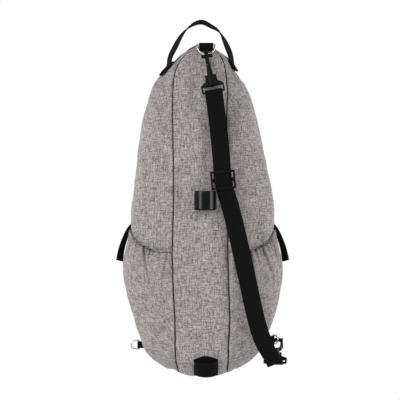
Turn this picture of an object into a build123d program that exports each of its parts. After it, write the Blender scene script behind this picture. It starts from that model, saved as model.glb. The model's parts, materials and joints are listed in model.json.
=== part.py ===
from build123d import *
from math import cos, radians, sin, sqrt
import os

os.makedirs("parts", exist_ok=True)

# Frame: +Z up, +X to the right as the strap side is faced, and the strap side faces -Y.
# The origin is on the underside of the carrying handle, at its highest point, where a hook takes it.
# Every height below is measured up from the bag's bottom.

# Driving dimensions, millimetres.
hang_height = 776
bag_height = 724
opening_height = 323
panel_half = 57
skin_thick = 2.5
foam_thick = 3
lining_thick = 1
layer_gap = 0.5
seam_gap = 0.6
strap_width = 38
webbing_thick = 2.4
handle_width = 25
handle_thick = 4
base = -hang_height

# The zipper runs up one side, over the top and down the other, in the plane y = zip_y.
zip_y = 22
slot_half = 8
zip_radius = 57
zip_centre = 663
zip_arc_end = 50
teeth_inner = 0.7
teeth_outer = 2.9
teeth_half_thick = 1.5
tape_half_thick = 0.6

# Hooks: from the ring's wire to the frame's strap bar, and the sizes of one hook.
hook_reach = 90
hook_half = 11
hook_bar = 4.5
hook_thick = 8
loop_length = 38
gate_pivot = 30
gate_tip = 6
post_radius = 3
collar_start = 52
collar_end = 76
frame_bar_radius = 2.5
frame_half = 25
frame_thick = 6

# Bag sections: height, half width and half depth of each ellipse.
bag_sections = [
    (0, 62, 38),
    (10, 84, 46),
    (35, 106, 57),
    (75, 127, 65),
    (140, 145, 72),
    (220, 153, 75),
    (300, 155.5, 76),
    (350, 155.5, 75.5),
    (400, 152.5, 74),
    (450, 147, 72),
    (510, 138, 69),
    (575, 124.5, 64),
    (635, 102.5, 57),
    (672, 79, 50),
    (700, 54.5, 42),
    (716, 33, 34),
    (bag_height, 20, 26),
]
# Side pocket sections: they swell past the bag at its sides and meet it at the seams.
pocket_sections = [
    (14, 93, 50),
    (35, 111, 59),
    (75, 137, 67),
    (140, 158, 73.5),
    (220, 171, 77),
    (260, 169.7, 77.8),
    (290, 167.4, 78),
    (315, 166.2, 78),
    (340, 165.8, 78),
]
# Pocket hem, as seen from the side: high at the side of the bag, lower towards the seams.
hem_side_height = 321
hem_seam_height = 277
hem_seam_y = 62
hem_band = 10

# Lines of webbing: x and height of each point on the middle of the strip.
strap_line = [
    (25.4, 608),
    (31, 567),
    (36.7, 515),
    (40.6, 470),
    (43.9, 430),
    (48, 410),
    (56, 385),
    (65, 352),
    (90, 245),
    (113, 140),
    (135, 73),
    (151, 44),
]
return_line = strap_line[:5] + [(44.6, 422)]
handle_line = [(-84, 671.5), (-68, 718), (-40, 760), (0, 778), (38, 761), (66, 717), (84, 671.5)]
patch_line = [(-85.2, 667), (-92.8, 656), (-102.9, 640)]
tab_line = [(-157, 330), (-168, 315), (-181.5, 252)]


def at(x, y, height):
    """Point at a height above the bag's bottom."""
    return Vector(x, y, base + height)


def across(direction, along):
    """Unit vector nearest to a direction that is square to another."""
    direction, along = Vector(direction), Vector(along).normalized()
    return (direction - along * direction.dot(along)).normalized()


def pod(sections, inset):
    """Solid through the sections, with its face moved in by the inset all round."""
    first = sections[0][0]
    height = sections[-1][0] - first
    squeeze = (height - 2 * inset) / height
    with BuildPart() as solid:
        for level, half_width, half_depth in sections:
            with BuildSketch(Plane.XY.offset(base + first + inset + (level - first) * squeeze)):
                Ellipse(half_width - inset, half_depth - inset)
        loft()
    return solid.part


def span_box(x_span, y_span, h_span, mode):
    """Box over the spans of x, y and height."""
    spans = (x_span, y_span, (base + h_span[0], base + h_span[1]))
    with Locations(tuple(sum(span) / 2 for span in spans)):
        Box(*(span[1] - span[0] for span in spans), mode=mode)


def keep(x_span, y_span, h_span):
    """Keep only what lies inside the spans of x, y and height."""
    span_box(x_span, y_span, h_span, Mode.INTERSECT)


def edge_points(points, shift):
    """Points of a line moved sideways, to its left when the shift is positive."""
    moved = []
    for i, (x, height) in enumerate(points):
        before = points[max(i - 1, 0)]
        after = points[min(i + 1, len(points) - 1)]
        run, rise = after[0] - before[0], after[1] - before[1]
        length = sqrt(run**2 + rise**2)
        moved.append((x - rise / length * shift, base + height + run / length * shift))
    return moved


def ribbon(points, half):
    """Face of the given half width on both sides of a line of points."""
    with BuildSketch() as face:
        with BuildLine():
            one = Spline(*edge_points(points, half))
            other = Spline(*edge_points(points, -half))
            Line(one @ 0, other @ 0)
            Line(one @ 1, other @ 1)
        make_face()
    return face.sketch


def mirror_line(points):
    """The same line on the other side of the bag."""
    return [(-x, height) for x, height in points]


def strip(points, half_thick, y_span):
    """Band of webbing that follows a line in front view and is wide in y."""
    with BuildPart() as band:
        with BuildSketch(Plane.XZ.offset(-y_span[1])):
            add(ribbon(points, half_thick))
        extrude(amount=y_span[1] - y_span[0])
    return band


def save(piece, name):
    """Label a finished piece and write its STEP file."""
    piece.part.label = name
    export_step(piece.part, f"parts/{name}.step")


wide = (-200, 200)
full_height = (-5, bag_height + 5)
slot_back = zip_y - slot_half
slot_front = zip_y + slot_half
foam_inset = skin_thick + layer_gap
lining_inset = foam_inset + foam_thick + layer_gap
outer_pod = pod(bag_sections, 0)
skin_pod = pod(bag_sections, skin_thick)
foam_pods = [pod(bag_sections, foam_inset), pod(bag_sections, foam_inset + foam_thick)]
lining_pods = [pod(bag_sections, lining_inset), pod(bag_sections, lining_inset + lining_thick)]

# Outer fabric: the centre back panel, two side panels, the lower front and the front flap.
skin_cuts = {
    "back_panel": ((-panel_half, panel_half), (-100, slot_back), full_height),
    "left_side_panel": ((-200, -panel_half - seam_gap), (-100, slot_back), full_height),
    "right_side_panel": ((panel_half + seam_gap, 200), (-100, slot_back), full_height),
    "front_lower_panel": (wide, (slot_back + seam_gap, 100), (-5, opening_height - seam_gap / 2)),
    "front_flap": (wide, (slot_front, 100), (opening_height + seam_gap / 2, bag_height + 5)),
}
for name, (x_span, y_span, h_span) in skin_cuts.items():
    with BuildPart() as panel:
        add(outer_pod)
        add(skin_pod, mode=Mode.SUBTRACT)
        keep(x_span, y_span, h_span)
    save(panel, name)

# Padding behind the centre back panel and in the flap.
with BuildPart() as back_foam:
    add(foam_pods[0])
    add(foam_pods[1], mode=Mode.SUBTRACT)
    keep((-panel_half + 2, panel_half - 2), (-100, -12), (30, 690))
save(back_foam, "back_foam")

with BuildPart() as flap_foam:
    add(foam_pods[0])
    add(foam_pods[1], mode=Mode.SUBTRACT)
    keep((-140, 140), (slot_front + 2, 100), (opening_height + 6, 690))
save(flap_foam, "flap_foam")

# Linings: one of the main compartment, one of the flap.
with BuildPart() as main_lining:
    add(lining_pods[0])
    add(lining_pods[1], mode=Mode.SUBTRACT)
    span_box(wide, (slot_back, 100), (opening_height - 1, bag_height + 5), Mode.SUBTRACT)
save(main_lining, "main_lining")

with BuildPart() as flap_lining:
    add(lining_pods[0])
    add(lining_pods[1], mode=Mode.SUBTRACT)
    keep(wide, (slot_front, 100), (opening_height + 1, bag_height + 5))
save(flap_lining, "flap_lining")

# Stiffener on the floor of the compartment.
base_board_level = 9
with BuildPart() as base_board:
    with BuildSketch(Plane.XY.offset(base + base_board_level)):
        Ellipse(54, 27)
    extrude(amount=2)
save(base_board, "base_board")

# Side pockets with elastic hems, open at the top.
pocket_pods = [pod(pocket_sections, 0), pod(pocket_sections, 2)]
hem_pods = [pod(pocket_sections, -0.7), pod(pocket_sections, 2.5)]
bag_clear = pod(bag_sections, -2 * layer_gap)


def hem_prism(drop, depth):
    """Everything under the hem line lowered by the drop, down to the given depth below it."""
    with BuildPart() as prism:
        with BuildSketch(Plane.YZ.offset(-200)):
            top = base + hem_side_height - drop
            side = base + hem_seam_height - drop
            corners = [(-100, side - 4), (-hem_seam_y, side), (0, top), (hem_seam_y, side), (100, side - 4)]
            with BuildLine():
                Polyline(*corners, *[(y, z - depth) for y, z in reversed(corners)], close=True)
            make_face()
        extrude(amount=400)
    return prism.part


cloth_zone = hem_prism(hem_band + seam_gap, 400)
hem_zone = hem_prism(0, hem_band)
for side, sign in (("left", -1), ("right", 1)):
    x_span = sorted((sign * (panel_half + 2 * seam_gap), sign * 200))
    with BuildPart() as pocket:
        add(pocket_pods[0])
        add(pocket_pods[1], mode=Mode.SUBTRACT)
        add(bag_clear, mode=Mode.SUBTRACT)
        add(cloth_zone, mode=Mode.INTERSECT)
        keep(x_span, (-100, 100), (22, 330))
    save(pocket, f"{side}_pocket")
    with BuildPart() as hem:
        add(hem_pods[0])
        add(hem_pods[1], mode=Mode.SUBTRACT)
        add(bag_clear, mode=Mode.SUBTRACT)
        add(hem_zone, mode=Mode.INTERSECT)
        keep(x_span, (-100, 100), (22, 330))
    save(hem, f"{side}_pocket_elastic")

# Zipper: two tapes and two rows of teeth, mirrored about the zipper plane.
arc_steps = [radians(a * zip_arc_end / 4) for a in range(4, -5, -1)]
zip_sides = [(148, 323.5), (145.5, 380), (138, 450), (129.5, 510), (115.5, 575), (93, 635), (69.5, 671)]
zip_line = (
    zip_sides
    + [(zip_radius * sin(a), zip_centre + zip_radius * cos(a)) for a in arc_steps]
    + list(reversed(mirror_line(zip_sides)))
)
for side, sign, edge in (("back", -1, slot_half - 0.4), ("flap", 1, slot_half - 0.4)):
    y_tape = sorted((zip_y + sign * (teeth_outer + 0.2), zip_y + sign * edge))
    y_teeth = sorted((zip_y + sign * teeth_inner, zip_y + sign * teeth_outer))
    save(strip(zip_line, tape_half_thick, y_tape), f"zip_tape_{side}")
    save(strip(zip_line, teeth_half_thick, y_teeth), f"zip_teeth_{side}")

# Zipper sliders on the top arc. Each grips the row of teeth on the back and covers the flap's row.
slider_angles = {"left": -44, "right": -28}
slider_half_angle = 6
plate_gap = 1.1
pull_pivot = zip_radius + teeth_half_thick + plate_gap + 2 + 2
slider_top = zip_radius + teeth_half_thick + plate_gap
slider_under = zip_radius - teeth_half_thick - 0.5
# Each block of a slider: inner and outer radius, low and high y from the zipper plane.
slider_blocks = [
    (slider_top, slider_top + 2, -6, 6),
    (slider_under - 1.5, slider_under, -6, 0.45),
    (slider_under - 0.5, slider_top + 0.5, -0.45, 0.45),
    (slider_top + 1, pull_pivot + 1.2, -3.4, -2.2),
    (slider_top + 1, pull_pivot + 1.2, 2.2, 3.4),
]


def arc_block(centre, inner, outer, low_y, high_y):
    """Block of a slider between two radii about the centre of the zipper's arc."""
    reach = 2 * outer
    swing = reach * sin(radians(slider_half_angle))
    with BuildPart() as block:
        with BuildSketch(centre.offset(low_y)):
            Circle(outer)
            Circle(inner, mode=Mode.SUBTRACT)
            with BuildLine():
                Polyline((0, 0), (-swing, -reach), (swing, -reach), close=True)
            make_face(mode=Mode.INTERSECT)
        extrude(amount=high_y - low_y)
    return block.part


for side, angle in slider_angles.items():
    turned = (cos(radians(angle)), 0, -sin(radians(angle)))
    centre = Plane(at(0, zip_y, zip_centre), x_dir=turned, z_dir=(0, 1, 0))
    with BuildPart() as slider:
        for inner, outer, low_y, high_y in slider_blocks:
            add(arc_block(centre, inner, outer, low_y, high_y))
        with Locations(centre):
            with Locations((0, -pull_pivot, 0)):
                Cylinder(1, 6.8)
    save(slider, f"zip_slider_{side}")
    along = -1 if side == "left" else 1
    with BuildPart() as pull:
        with BuildSketch(centre.offset(-2)):
            with Locations((0, -pull_pivot)):
                Circle(2)
                with Locations((along * 14, -0.6)):
                    SlotOverall(30, 3.2)
                Circle(1.08, mode=Mode.SUBTRACT)
        extrude(amount=4)
    save(pull, f"zip_pull_{side}")

# Fabric tabs at the lower ends of the zipper, held while it is pulled.
save(strip(tab_line, 1.5, (12, 32)), "left_zip_tab")
save(strip(mirror_line(tab_line), 1.5, (12, 32)), "right_zip_tab")

# Carrying handle and its two sewn ends.
handle_span = (-handle_width / 2, handle_width / 2)
handle_foot = 672
handle_strip = strip(handle_line, handle_thick / 2, handle_span)
# Its ends are round about the line that it swings on, so that they turn without digging in.
with BuildPart() as handle:
    add(handle_strip.part)
    with BuildSketch(Plane.YZ.offset(-120)):
        with Locations((0, base + handle_foot + handle_width / 2)):
            Circle(handle_width / 2)
        with Locations((0, base + handle_foot + handle_width / 2 + 60)):
            Rectangle(handle_width, 120)
    extrude(amount=240, mode=Mode.INTERSECT)
save(handle, "handle_webbing")
save(strip(patch_line, 1.2, handle_span), "handle_patch_left")
save(strip(mirror_line(patch_line), 1.2, handle_span), "handle_patch_right")


# Rings: a straight bar held in a webbing fold, and a round bow.
def bow_ring(plane, half, leg, wire):
    """Ring of round wire: its bar lies along the plane's x, and its bow hangs towards -y."""
    with BuildPart(plane) as ring:
        Cylinder(wire, 2 * half, rotation=(0, 90, 0))
        for x in (-half, half):
            with Locations((x, 0, 0)):
                Sphere(wire)
            with Locations((x, -leg / 2, 0)):
                Cylinder(wire, leg, rotation=(90, 0, 0))
        with Locations(Location((0, -leg, 0), (0, 0, 180))):
            Torus(half, wire, major_angle=180, align=None)
    return ring


ring_x = 8
top_bar = at(ring_x, -46, 724)
top_contact = at(ring_x, -54, 702)
top_ring_half = 18.5
top_ring_wire = 1.9
top_drop = (top_contact - top_bar).length
top_plane = Plane(top_bar, x_dir=(1, 0, 0), z_dir=Vector(1, 0, 0).cross(top_bar - top_contact))
save(bow_ring(top_plane, top_ring_half, top_drop - top_ring_half, top_ring_wire), "top_ring")

side_ring_half = 9.5
side_ring_leg = 8
side_ring_wire = 1.6
side_tab_y = 28
side_tab_half = 7.6
right_bar = at(156, side_tab_y, 78)
right_turn = radians(-54)
right_out = Vector(cos(right_turn), sin(right_turn), 0)
left_bar = at(-141, side_tab_y, 66)
left_out = Vector(-1, 0, 0)
for side, bar, out in (("left", left_bar, left_out), ("right", right_bar, right_out)):
    ring_plane = Plane(bar, x_dir=(0, 0, 1), z_dir=Vector(0, 0, 1).cross(-out))
    save(bow_ring(ring_plane, side_ring_half, side_ring_leg, side_ring_wire), f"lower_{side}_ring")

# Webbing folds that hold the rings.
loop_bar_gap = 0.3
with BuildPart() as top_webbing_loop:
    with BuildSketch(Plane.YZ.offset(ring_x - 15.5)):
        with Locations((top_bar.Y, top_bar.Z)):
            Circle(top_ring_wire + loop_bar_gap + 1.8)
        with BuildLine():
            Polyline(
                (top_bar.Y - 4, top_bar.Z),
                (-41, base + 709.4),
                (-39.3, base + 708.4),
                (top_bar.Y - 1.6, top_bar.Z - 1),
                close=True,
            )
        make_face()
        with BuildLine():
            Polyline(
                (top_bar.Y + 4, top_bar.Z),
                (-35, base + 717.6),
                (-36.6, base + 716.6),
                (top_bar.Y + 1.6, top_bar.Z - 1),
                close=True,
            )
        make_face()
        with Locations((top_bar.Y, top_bar.Z)):
            Circle(top_ring_wire + loop_bar_gap, mode=Mode.SUBTRACT)
    extrude(amount=31)
save(top_webbing_loop, "top_webbing_loop")

for side, bar, root_x in (("left", left_bar, -120), ("right", right_bar, 125)):
    with BuildPart() as tab:
        with BuildSketch(Plane.XY.offset(bar.Z - side_tab_half)):
            with Locations((bar.X, bar.Y)):
                Circle(side_ring_wire + loop_bar_gap + 1.8)
            with Locations(((bar.X + root_x) / 2, bar.Y)):
                Rectangle(abs(bar.X - root_x), 4)
            with Locations((bar.X, bar.Y)):
                Circle(side_ring_wire + loop_bar_gap, mode=Mode.SUBTRACT)
        extrude(amount=2 * side_tab_half)
        add(pod(pocket_sections, -layer_gap), mode=Mode.SUBTRACT)
    save(tab, f"lower_{side}_tab")


# Loops that hold a rod against the back: a moulded one in the middle, a webbing one at the bottom.
def rod_loop(plane, half_width, reach, height, thick):
    """Band that bows out from the bag and back, open above and below."""
    with BuildPart() as band:
        with BuildSketch(plane):
            with BuildLine():
                ThreePointArc((-half_width, 0), (0, -reach), (half_width, 0))
                Line((half_width, 0), (half_width - thick, 0))
                ThreePointArc((half_width - thick, 0), (0, thick - reach), (thick - half_width, 0))
                Line((thick - half_width, 0), (-half_width, 0))
            make_face()
        extrude(amount=height)
    return band


loop_x = 5.5
middle_plane = Plane(at(loop_x, -77, 365), x_dir=(1, 0, 0), z_dir=(0, 0, 1))
save(rod_loop(middle_plane, 23, 27, 42, 3), "middle_loop")
bottom_plane = Plane(at(loop_x + 2, -48, 10), x_dir=(1, 0, 0), z_dir=(0, -0.37, 0.93))
save(rod_loop(bottom_plane, 26, 26, 36, 2.4), "bottom_loop")


# Snap hooks. In a hook's own plane, x runs from the ring's wire to the strap bar.
def hook_set(name, contact, toward, loop_normal, strap_side):
    """Write one hook, its gate and pin, and the swivel frame; return the strap bar's middle."""
    along = (toward - contact).normalized()
    loop_plane = Plane(contact, x_dir=along, z_dir=across(loop_normal, along))
    frame_plane = Plane(contact, x_dir=along, z_dir=across(strap_side, along))
    loop_middle = loop_length / 2 - 2.5
    with BuildPart() as hook:
        with BuildSketch(loop_plane):
            with Locations((loop_middle, 0)):
                SlotOverall(loop_length + 2 * hook_bar, 2 * hook_half)
                SlotOverall(loop_length, 2 * (hook_half - hook_bar), mode=Mode.SUBTRACT)
            with Locations(((gate_tip - 0.4 + gate_pivot - 3.4) / 2, hook_half)):
                Rectangle(gate_pivot - 3.4 - gate_tip + 0.4, 2 * (hook_bar + 1), mode=Mode.SUBTRACT)
        extrude(amount=hook_thick / 2, both=True)
        with BuildSketch(loop_plane):
            with Locations((gate_pivot, hook_half - 2.4)):
                Rectangle(7.4, 2 * hook_bar + 0.6)
        extrude(amount=2.5, both=True, mode=Mode.SUBTRACT)
        with BuildSketch(Plane(contact + along * 38, z_dir=along)):
            Circle(6)
        extrude(amount=collar_start - 38 - 0.3)
        with BuildSketch(Plane(contact + along * (collar_start - 1), z_dir=along)):
            Circle(post_radius)
        extrude(amount=12)
        with BuildSketch(Plane(contact + along * (collar_start + 10.4), z_dir=along)):
            Circle(5)
        extrude(amount=2.6)
        with BuildSketch(loop_plane):
            with Locations((gate_pivot, hook_half - 2.4)):
                Circle(1.2)
        extrude(amount=hook_thick, both=True, mode=Mode.SUBTRACT)
    save(hook, f"{name}_hook")
    with BuildPart() as gate:
        with BuildSketch(loop_plane):
            with Locations((gate_pivot, hook_half - 2.4)):
                Circle(2.2)
            with Locations(((gate_pivot + gate_tip) / 2, hook_half - 2.4)):
                Rectangle(gate_pivot - gate_tip, 3.6)
            with Locations((gate_pivot, hook_half - 2.4)):
                Circle(1.25, mode=Mode.SUBTRACT)
        extrude(amount=2.2, both=True)
        with BuildSketch(loop_plane):
            with Locations((gate_tip + 5, hook_half)):
                Rectangle(8, 2.6)
        extrude(amount=12, both=True)
    save(gate, f"{name}_gate")
    with BuildPart() as pin:
        with BuildSketch(loop_plane):
            with Locations((gate_pivot, hook_half - 2.4)):
                Circle(1.2)
        extrude(amount=hook_thick / 2 - 0.1, both=True)
    save(pin, f"{name}_gate_pin")
    with BuildPart() as frame:
        with BuildSketch(frame_plane):
            with BuildLine():
                Polyline(
                    (collar_start, -12),
                    (collar_end - 10, -13),
                    (collar_end - 2, -frame_half),
                    (hook_reach, -frame_half),
                    (hook_reach, frame_half),
                    (collar_end - 2, frame_half),
                    (collar_end - 10, 13),
                    (collar_start, 12),
                    close=True,
                )
            make_face()
            with Locations(((collar_end + hook_reach + 11) / 2, 0)):
                Rectangle(hook_reach + 9 - collar_end, 2 * frame_half - 7, mode=Mode.SUBTRACT)
        extrude(amount=frame_thick / 2, both=True)
        with BuildSketch(Plane(contact + along * collar_start, z_dir=along)):
            Circle(9)
        extrude(amount=collar_end - collar_start)
        with BuildSketch(Plane(contact + along * (collar_start - 1), z_dir=along)):
            Circle(post_radius + 0.06)
        extrude(amount=20, mode=Mode.SUBTRACT)
        with BuildSketch(Plane(contact + along * (collar_start + 10), z_dir=along)):
            Circle(5.6)
        extrude(amount=30, mode=Mode.SUBTRACT)
        with Locations(Plane(contact + along * hook_reach, x_dir=frame_plane.y_dir, z_dir=along)):
            Cylinder(frame_bar_radius, 2 * frame_half - 2, rotation=(0, 90, 0))
    save(frame, f"{name}_swivel_frame")
    with BuildPart() as fold:
        with Locations(Plane(contact + along * hook_reach, x_dir=frame_plane.y_dir, z_dir=along)):
            Cylinder(frame_bar_radius + 2.8, strap_width, rotation=(0, 90, 0))
            Cylinder(frame_bar_radius + 0.4, strap_width, rotation=(0, 90, 0), mode=Mode.SUBTRACT)
    save(fold, f"strap_{name}_fold")


def seated(contact, toward, play):
    """Zero point of a hook whose loop holds the ring's wire loosely, with a little play behind it."""
    return contact + (contact - toward).normalized() * play


# The lower hook pulls down as well as out, so it settles low on its ring's bow.
lower_settle = radians(20)
lower_contact = (
    right_bar
    + right_out * (side_ring_leg + side_ring_half * cos(lower_settle))
    - Vector(0, 0, side_ring_half * sin(lower_settle))
)
top_strap_bar = at(24.5, -79, 616)
lower_strap_bar = at(156, -64, 36)
hook_set("top", seated(top_contact, top_strap_bar, 2.6), top_strap_bar, (-1, 0, 0), (0, -1, 0))
hook_set("lower", seated(lower_contact, lower_strap_bar, 2.5), lower_strap_bar, (0, 0, 1), (0, 0, -1))

# Shoulder strap: a long strip, and a return layer behind it from the top hook to the adjuster.
strap_y = -83
return_y = -76.6
strap_end_y = -68.5


def strap_layer(points, profile):
    """Strip of webbing with a front outline from the points and a side profile from a sketch."""
    with BuildPart() as layer:
        with BuildSketch(Plane.XZ.offset(20)):
            add(ribbon(points, strap_width / 2))
        extrude(amount=100)
        with BuildSketch(Plane.YZ.offset(-100)):
            add(profile)
        extrude(amount=400, mode=Mode.INTERSECT)
    return layer


# Straight down past the adjuster, then a gentle arc in towards the lower hook.
bend, strap_top, strap_low = base + 330, base + 620, base + 30
front_y, rear_y = strap_y - webbing_thick / 2, strap_y + webbing_thick / 2
front_end_y, rear_end_y = strap_end_y - webbing_thick / 2, strap_end_y + webbing_thick / 2
with BuildSketch() as strap_profile:
    with BuildLine():
        Line((front_y, strap_top), (front_y, bend))
        TangentArc((front_y, bend), (front_end_y, strap_low), tangent=(0, -1))
        Line((front_end_y, strap_low), (rear_end_y, strap_low))
        TangentArc((rear_y, bend), (rear_end_y, strap_low), tangent=(0, -1))
        Polyline((rear_y, bend), (rear_y, strap_top), (front_y, strap_top))
    make_face()
with BuildSketch() as return_profile:
    with Locations((return_y, base + 515)):
        Rectangle(webbing_thick, 300)

save(strap_layer(strap_line, strap_profile.sketch), "strap_webbing")
save(strap_layer(return_line, return_profile.sketch), "strap_return")

# Strap adjuster: outer bars in front of the strap, the middle bar behind it.
adjuster_middle = at(43.9, strap_y, 430)
strap_run = Vector(strap_line[2][0] - strap_line[4][0], 0, strap_line[2][1] - strap_line[4][1])
adjuster_plane = Plane(adjuster_middle, x_dir=(strap_run.Z, 0, -strap_run.X), z_dir=(0, -1, 0))
adjuster_half = 26.5
with BuildPart(adjuster_plane) as adjuster:
    for x in (-1, 1):
        with Locations((x * (adjuster_half - 2), 0, 0)):
            Box(4, 40, 9)
    for y in (-1, 1):
        with Locations((0, y * 17.7, 3.2)):
            Box(2 * adjuster_half, 4.6, 2.6)
    with Locations((0, 0, -3.2)):
        Box(2 * adjuster_half, 8, 2.6)
save(adjuster, "strap_adjuster")
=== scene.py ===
import json
import math

import bmesh
import bpy
import numpy as np
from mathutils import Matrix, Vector


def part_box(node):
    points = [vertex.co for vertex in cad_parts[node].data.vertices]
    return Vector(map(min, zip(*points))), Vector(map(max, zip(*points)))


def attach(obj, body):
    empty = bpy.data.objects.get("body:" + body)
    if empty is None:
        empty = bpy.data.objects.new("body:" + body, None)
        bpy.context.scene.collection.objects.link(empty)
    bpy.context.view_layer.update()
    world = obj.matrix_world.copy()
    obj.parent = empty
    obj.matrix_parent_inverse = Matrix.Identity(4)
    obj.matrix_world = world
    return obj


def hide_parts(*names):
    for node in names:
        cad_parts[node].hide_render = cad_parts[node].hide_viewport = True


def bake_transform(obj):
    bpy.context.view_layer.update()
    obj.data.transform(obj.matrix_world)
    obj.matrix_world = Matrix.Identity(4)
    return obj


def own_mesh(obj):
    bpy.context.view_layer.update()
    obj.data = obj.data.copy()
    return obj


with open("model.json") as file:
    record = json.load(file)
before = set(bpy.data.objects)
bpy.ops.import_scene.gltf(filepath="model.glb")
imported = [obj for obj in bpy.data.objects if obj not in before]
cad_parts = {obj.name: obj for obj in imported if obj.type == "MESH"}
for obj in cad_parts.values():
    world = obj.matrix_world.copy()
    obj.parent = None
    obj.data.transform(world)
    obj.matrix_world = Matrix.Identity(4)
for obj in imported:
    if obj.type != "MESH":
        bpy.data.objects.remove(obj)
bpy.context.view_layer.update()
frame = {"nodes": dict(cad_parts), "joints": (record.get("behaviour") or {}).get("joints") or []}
nodes = frame["nodes"]
joints = {joint["name"]: joint for joint in frame["joints"]}

# Frame: metres, +Z up, the strap side faces -Y, the origin is where the handle hangs.
# Heights below are measured up from the bag's bottom, in millimetres, as in the part's source.
MM = 0.001
HANG = 776
OPENING = 323
TOP = 726
SLOT_BACK, SLOT_FRONT = 14, 30
ZIP_Y, ZIP_CENTRE, ZIP_RADIUS = 22, 663, 57

# Height, half width and half depth of the bag, rounded off at both ends.
BAG = [
    (0, 4, 3), (1.5, 26, 18), (5.5, 46, 29), (13, 65, 40), (25, 88, 50), (40, 108, 58.5), (75, 127, 65),
    (140, 145, 72), (220, 153, 75), (280, 155, 76), (320, 157.5, 76), (350, 158.5, 75.6), (400, 154, 74.2),
    (450, 147, 72), (510, 138, 69), (575, 124.5, 64), (635, 102.5, 57), (672, 79, 50), (700, 54.5, 42),
    (716, 33, 33), (722.5, 19, 23), (725, 9, 12), (TOP, 2, 2),
]
POCKET = [
    (14, 80, 46), (35, 108, 58), (75, 135, 66.5), (110, 149, 71), (140, 157, 73.5), (170, 164, 75.5),
    (200, 169.5, 77.5), (230, 172, 78.5), (250, 171, 79), (270, 167.5, 79), (290, 163, 78.5), (305, 160, 78),
    (320, 159.2, 77.5), (330, 160, 77.5),
]
# Seams beside the centre back panel: height and x.
SEAM_LEFT = [
    (-5, -52), (14, -54), (31, -57), (75, -60), (117, -62.5), (190, -65), (266, -66), (387, -62.5),
    (548, -60.5), (636, -58.5), (664, -55.7), (687, -49.5), (700, -43), (712, -27), (719, -12), (726, -2),
]
SEAM_RIGHT = [
    (-5, 54), (46, 56), (132, 56), (216, 55.2), (266, 54.8), (400, 55.5), (548, 57), (590, 59.3),
    (631, 60), (659, 58), (676, 54.5), (693, 46.5), (707, 36), (716, 25), (721, 14), (726, 2),
]
# The bag leans a little to one side: height and shift along x.
LEAN = [
    (0, 0), (70, 0), (130, 3.5), (200, 1.5), (277, 0), (383, 0), (508, -3.5), (575, -5.5), (640, -6),
    (670, -5.5), (700, 0), (726, 0),
]


def spline(knots, values):
    """Natural cubic spline through rows of values at the knots."""
    knots, values = np.array(knots, float), np.array(values, float)
    gap, count = np.diff(knots), len(knots)
    matrix, right = np.eye(count), np.zeros_like(values)
    for i in range(1, count - 1):
        matrix[i, i - 1 : i + 2] = gap[i - 1], 2 * (gap[i - 1] + gap[i]), gap[i]
        right[i] = 6 * ((values[i + 1] - values[i]) / gap[i] - (values[i] - values[i - 1]) / gap[i - 1])
    bend = np.linalg.solve(matrix, right)

    def value(x):
        x = np.clip(np.asarray(x, float), knots[0], knots[-1])
        i = np.clip(np.searchsorted(knots, x) - 1, 0, count - 2)
        b = ((x - knots[i]) / gap[i])[..., None]
        a, h = 1 - b, gap[i][..., None]
        curve = (a**3 - a) * bend[i] + (b**3 - b) * bend[i + 1]
        return a * values[i] + b * values[i + 1] + curve * h**2 / 6

    return value


def chord(points):
    """Length along a line of points, from 0."""
    steps = np.linalg.norm(np.diff(np.array(points, float), axis=0), axis=1)
    return np.concatenate([[0], np.cumsum(steps)])


def lengths_across(grid):
    """Length along each row of a grid of points, from 0."""
    steps = np.linalg.norm(np.diff(grid, axis=1), axis=-1)
    return np.concatenate([np.zeros((len(grid), 1)), np.cumsum(steps, axis=1)], axis=1)


def curve_through(points, count):
    """Smooth line of evenly spaced points through the given ones."""
    points = np.array(points, float)
    dense = spline(chord(points), points)(np.linspace(0, chord(points)[-1], 12 * count))
    along = chord(dense)
    want = np.linspace(0, along[-1], count)
    return np.stack([np.interp(want, along, dense[:, k]) for k in range(dense.shape[1])], -1)


def line_by_height(rows):
    """Function from height to the other value of each row."""
    rows = np.array(rows, float)
    smooth = spline(rows[:, 0], rows[:, 1:])
    return lambda height: smooth(height)[..., 0]


bag_rows = np.array(BAG, float)
bag_knots = chord(bag_rows[:, :2])
bag_profile = spline(bag_knots, bag_rows)
profile_t = np.linspace(0, bag_knots[-1], 4000)
profile_h = np.maximum.accumulate(bag_profile(profile_t)[:, 0])
pocket_rows = np.array(POCKET, float)
pocket_profile = spline(pocket_rows[:, 0], pocket_rows[:, 1:])
seam_left, seam_right = line_by_height(SEAM_LEFT), line_by_height(SEAM_RIGHT)
lean_rows = np.array(LEAN, float)


def lean_of(height):
    """Sideways shift in millimetres at a height."""
    return np.interp(height, lean_rows[:, 0], lean_rows[:, 1])


def t_at(height):
    """Place along the bag's outline of a height."""
    return np.interp(height, profile_h, profile_t)


def metres(points):
    """Points of x, y and height in millimetres, in the row frame."""
    return (np.asarray(points, float) - np.array([0, 0, HANG])) * MM


def lean(piece):
    """Shift a piece of the bag sideways with its height."""
    points = np.zeros(len(piece.data.vertices) * 3)
    piece.data.vertices.foreach_get("co", points)
    points = points.reshape(-1, 3)
    points[:, 0] += lean_of(points[:, 2] / MM + HANG) * MM
    piece.data.vertices.foreach_set("co", points.ravel())
    piece.data.update()
    return piece


def bag_surface(t, angle):
    """Points of the bag's surface. Angle 0 is +X and -90 degrees is the strap side."""
    height, half_width, half_depth = np.moveaxis(bag_profile(t), -1, 0)
    return metres(np.stack([half_width * np.cos(angle), half_depth * np.sin(angle), height], -1))


def bag_normal(t, angle):
    """Unit normals of the bag's surface, outward."""
    step = 1e-3
    up = bag_surface(t + step * 100, angle) - bag_surface(t - step * 100, angle)
    round_ = bag_surface(t, angle + step) - bag_surface(t, angle - step)
    normal = np.cross(round_, up)
    return normal / np.maximum(np.linalg.norm(normal, axis=-1, keepdims=True), 1e-12)


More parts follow.
